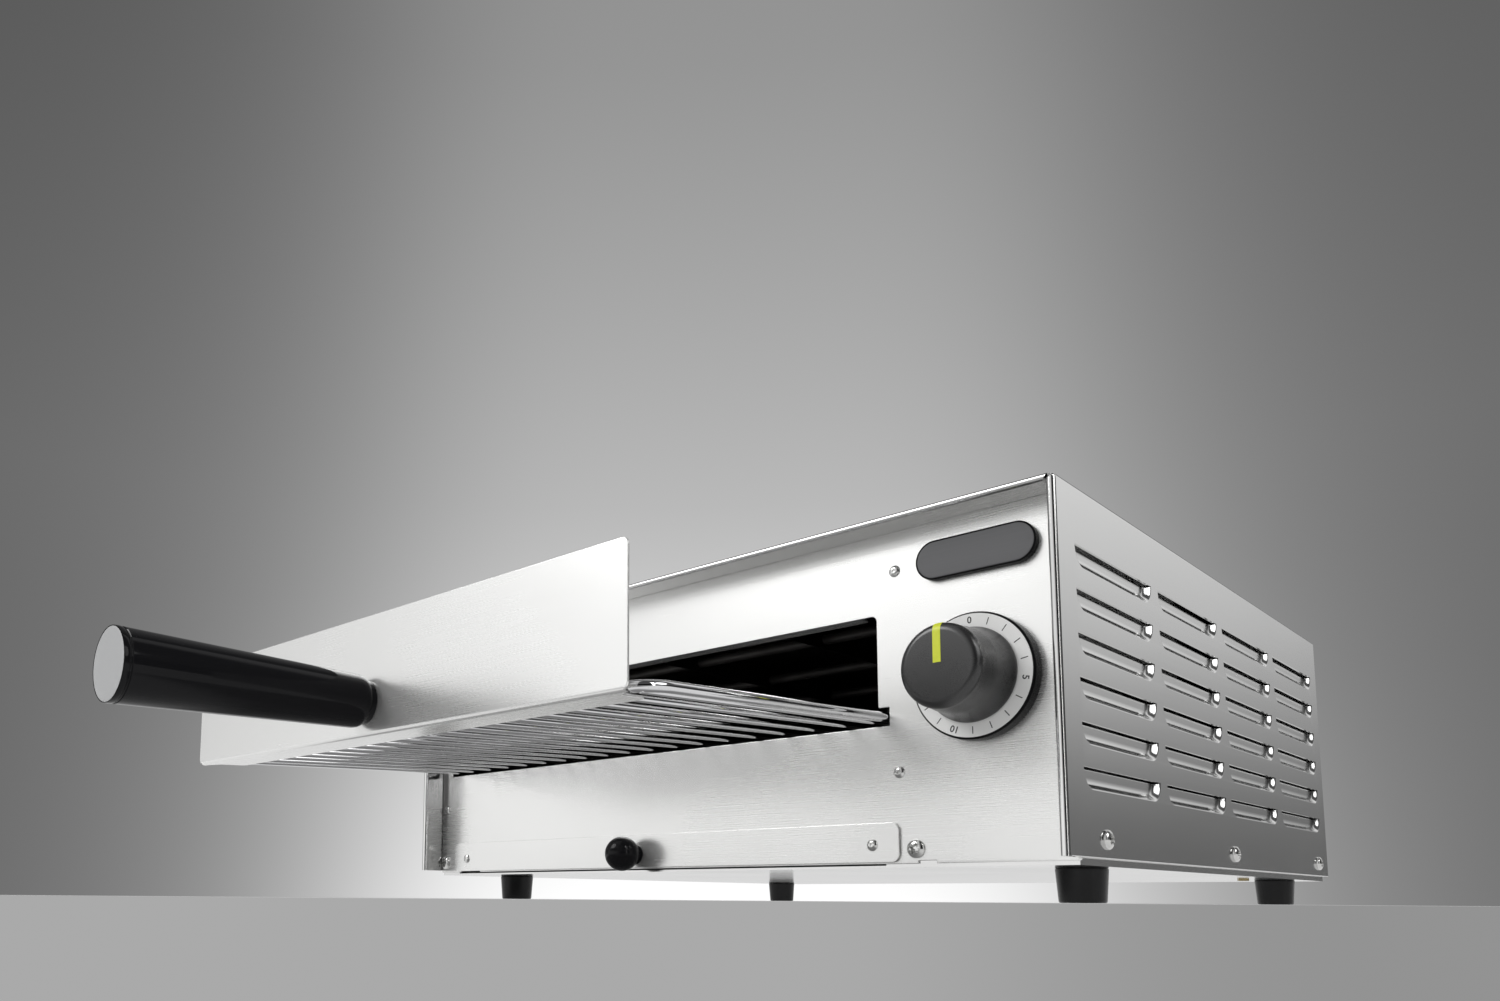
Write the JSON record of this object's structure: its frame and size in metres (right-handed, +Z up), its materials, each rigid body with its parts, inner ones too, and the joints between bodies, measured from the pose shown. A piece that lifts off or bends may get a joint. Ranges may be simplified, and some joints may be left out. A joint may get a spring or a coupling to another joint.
{
  "type": "countertop pizza oven",
  "caption": "Countertop electric pizza oven of folded stainless sheet with a sliding wire rack, crumb tray, mechanical timer, louvred sides and rubber feet.",
  "frame": {"origin": "centre of the underside of the bounding box, rack drawn out, on the table plane under the feet", "axes": "+X to the right seen from the front, +Y from the handle to the back, +Z up"},
  "size_m": [0.4872, 0.8068, 0.199],
  "materials": {
    "cover_stainless": "brushed",
    "front_stainless": "fine brushed",
    "liner_steel": "matt aluminised sheet",
    "heater_steel": "heat-darkened satin",
    "chromed_wire": "polished",
    "zinc_fasteners": "zinc plated",
    "brass_parts": "plain",
    "foot_rubber": "satin",
    "handle_gloss_black": "gloss",
    "cap_grey": "matt",
    "knob_dark_grey": "satin",
    "pointer_yellow": "plain",
    "dial_black": "gloss",
    "scale_white": "printed",
    "badge_black": "satin",
    "insulator_white": "matt, stands for ceramic"
  },
  "bodies": {
    "case": {"outer_cover": "cover_stainless", "front_panel": "front_stainless", "base_pan": "cover_stainless", "rear_panel": "cover_stainless", "cooking_chamber": "liner_steel", "rack_guide_left": "liner_steel", "rack_guide_right": "liner_steel", "tray_runner_left": "liner_steel", "tray_runner_right": "liner_steel", "heat_shield": "cover_stainless", "upper_element": "heater_steel", "lower_element": "heater_steel", "upper_element_supports": "liner_steel", "lower_element_supports": "liner_steel", "element_bushes": "insulator_white", "element_studs": "zinc_fasteners", "timer_body": "liner_steel", "timer_screws": "zinc_fasteners", "dial_base": "dial_black", "dial_ring": "scale_white", "badge_rim": "dial_black", "badge_face": "badge_black", "thermal_cutout": "insulator_white", "cutout_screws": "zinc_fasteners", "terminal_block": "insulator_white", "terminal_screws": "brass_parts", "earth_stud": "brass_parts", "earth_nut": "brass_parts", "mains_gland": "dial_black", "gland_nut": "dial_black", "gland_seal": "foot_rubber", "panel_rivets": "zinc_fasteners", "panel_screws": "zinc_fasteners", "side_screws_left": "zinc_fasteners", "side_screws_right": "zinc_fasteners", "rear_screws": "zinc_fasteners", "shield_screws": "zinc_fasteners", "foot_front_left": "foot_rubber", "foot_front_right": "foot_rubber", "foot_rear_left": "foot_rubber", "foot_rear_right": "foot_rubber", "foot_screws": "zinc_fasteners", "foot_nuts": "zinc_fasteners"},
    "rack": {"rack_plate": "front_stainless", "wire_rack": "chromed_wire", "handle_grip": "handle_gloss_black", "handle_cap": "cap_grey", "handle_collar": "handle_gloss_black", "handle_bolt": "zinc_fasteners", "handle_washer": "zinc_fasteners"},
    "tray": {"tray_pan": "cover_stainless", "tray_front_wall": "cover_stainless", "tray_front": "front_stainless", "tray_rivets": "zinc_fasteners", "tray_knob": "handle_gloss_black", "tray_knob_screw": "zinc_fasteners"},
    "timer_rotor": {"timer_knob": "knob_dark_grey", "knob_pointer": "pointer_yellow", "timer_shaft": "zinc_fasteners"}
  },
  "joints": [
    {"name": "rack_slide", "type": "slide", "parent": "case", "child": "rack", "axis": [0, -0.9989, -0.0471], "range_m": [-0.2, 0.12]},
    {"name": "tray_slide", "type": "slide", "parent": "case", "child": "tray", "axis": [0, -1, 0], "range_m": [0, 0.2]},
    {"name": "timer_turn", "type": "hinge", "parent": "case", "child": "timer_rotor", "pos_m": [0.193, -0.08856, 0.1108], "axis": [0, 1, 0], "range_deg": [0, 300]}
  ]
}
